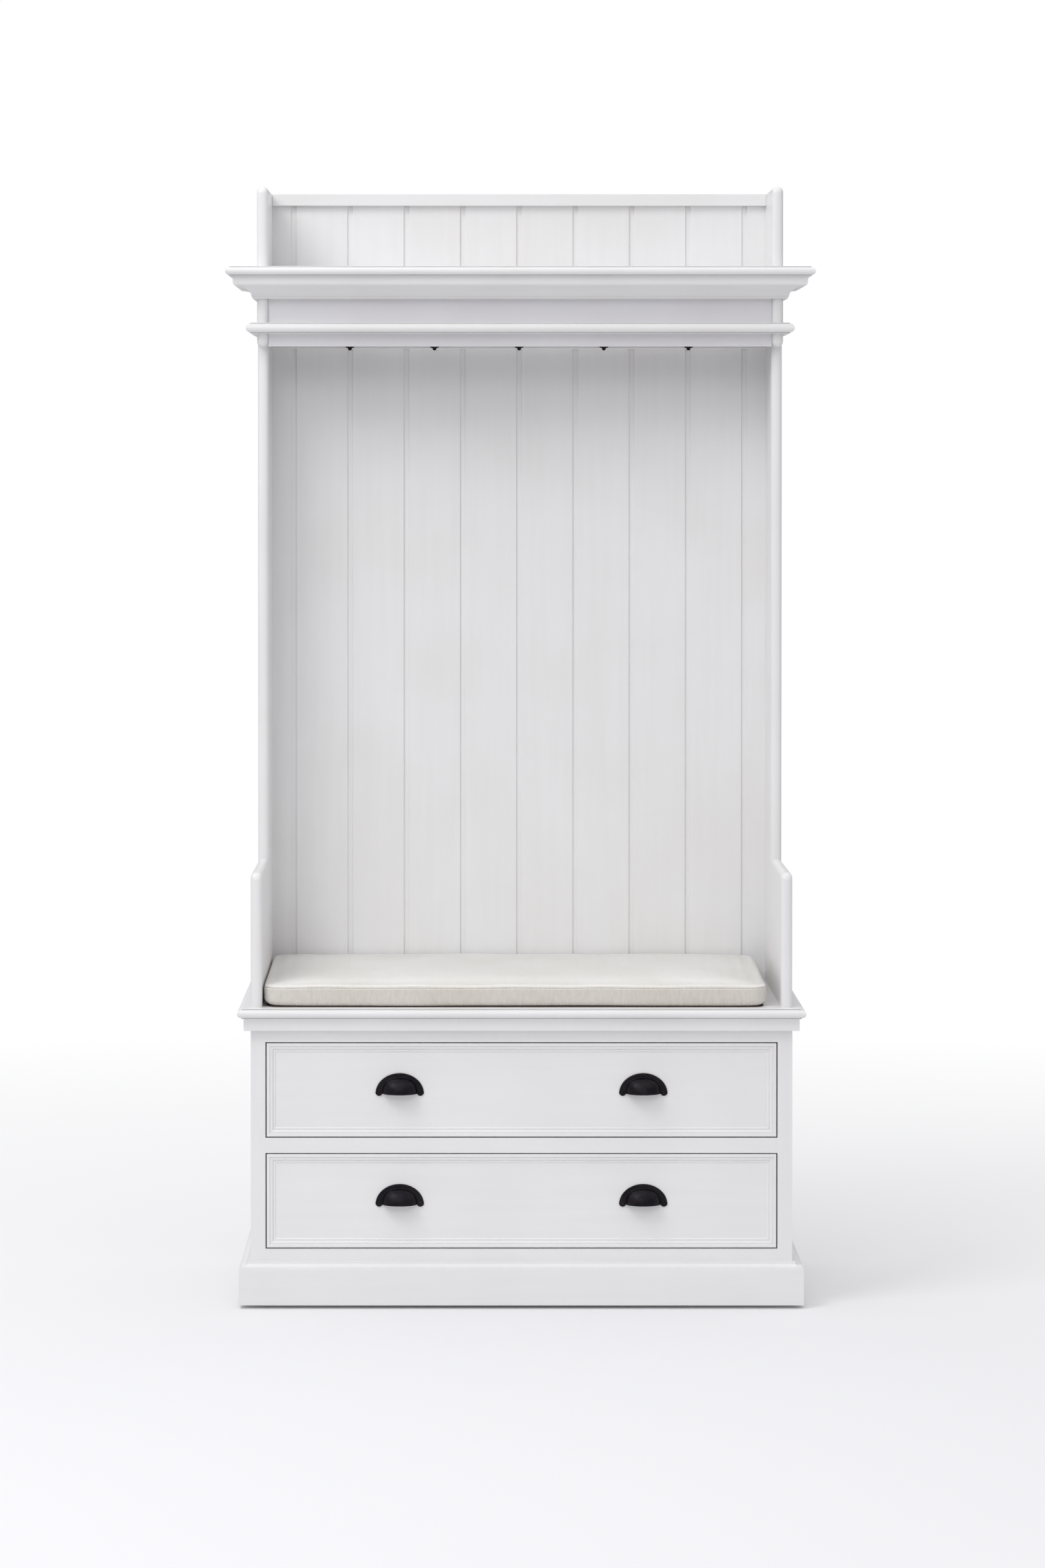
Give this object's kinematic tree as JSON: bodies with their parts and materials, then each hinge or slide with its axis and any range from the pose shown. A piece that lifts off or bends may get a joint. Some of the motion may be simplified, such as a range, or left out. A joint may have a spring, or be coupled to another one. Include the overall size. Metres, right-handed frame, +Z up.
{
  "type": "hall tree with hooks",
  "caption": "White storage bench with two cup-pull drawers and a cushion, under a panelled back with coat hooks behind a frieze, a cornice and a hat shelf.",
  "frame": {"origin": "on the floor, under the middle of the object's overall outline", "axes": "+X to the right as seen from the front, +Y to the rear, +Z up"},
  "size_m": [1.07, 0.45, 2],
  "materials": {
    "white_paint": "semi-gloss white paint over solid wood",
    "bare_wood": "unpainted reddish-brown hardwood, clear sealed",
    "pull_bronze": "dark bronze patina, satin",
    "hook_iron": "black satin",
    "cushion_fabric": "ivory herringbone cotton weave over foam",
    "glide_felt": "dark matt glide"
  },
  "bodies": {
    "cabinet": {"plinth_front": "white_paint", "plinth_side_left": "white_paint", "plinth_side_right": "white_paint", "plinth_back": "white_paint", "plinth_cap_moulding": "white_paint", "foot_glide_front_left": "glide_felt", "foot_glide_front_right": "glide_felt", "foot_glide_rear_left": "glide_felt", "foot_glide_rear_right": "glide_felt", "cabinet_side_left": "white_paint", "cabinet_side_right": "white_paint", "bottom_rail": "white_paint", "middle_rail": "white_paint", "top_rail": "white_paint", "cabinet_bottom": "bare_wood", "drawer_divider": "bare_wood", "cabinet_back": "white_paint", "bench_fascia": "white_paint", "bench_top": "white_paint", "side_panel_left": "white_paint", "side_panel_right": "white_paint", "back_top_rail": "white_paint", "hook_rail": "white_paint", "hat_shelf": "white_paint", "frieze_board": "white_paint", "back_board_1": "white_paint", "back_board_2": "white_paint", "back_board_3": "white_paint", "back_board_4": "white_paint", "back_board_5": "white_paint", "back_board_6": "white_paint", "back_board_7": "white_paint", "back_board_8": "white_paint", "back_board_9": "white_paint", "back_board_10": "white_paint", "cornice_cap": "white_paint", "crown_moulding": "white_paint", "lower_moulding": "white_paint", "coat_hook_1": "hook_iron", "coat_hook_2": "hook_iron", "coat_hook_3": "hook_iron", "coat_hook_4": "hook_iron", "coat_hook_5": "hook_iron"},
    "upper_drawer": {"upper_drawer_front": "white_paint", "upper_drawer_side_left": "bare_wood", "upper_drawer_side_right": "bare_wood", "upper_drawer_back": "bare_wood", "upper_drawer_bottom": "bare_wood", "upper_pull_left": "pull_bronze", "upper_pull_right": "pull_bronze"},
    "lower_drawer": {"lower_drawer_front": "white_paint", "lower_drawer_side_left": "bare_wood", "lower_drawer_side_right": "bare_wood", "lower_drawer_back": "bare_wood", "lower_drawer_bottom": "bare_wood", "lower_pull_left": "pull_bronze", "lower_pull_right": "pull_bronze"},
    "cushion": {"seat_cushion": "cushion_fabric"}
  },
  "joints": [
    {"name": "upper_drawer_slide", "type": "slide", "parent": "cabinet", "child": "upper_drawer", "axis": [0, -1, 0], "range_m": [0, 0.3]},
    {"name": "lower_drawer_slide", "type": "slide", "parent": "cabinet", "child": "lower_drawer", "axis": [0, -1, 0], "range_m": [0, 0.3]},
    {"name": "cushion_lift", "type": "slide", "parent": "cabinet", "child": "cushion", "axis": [0, 0, 1], "range_m": [0, 0.26]}
  ]
}
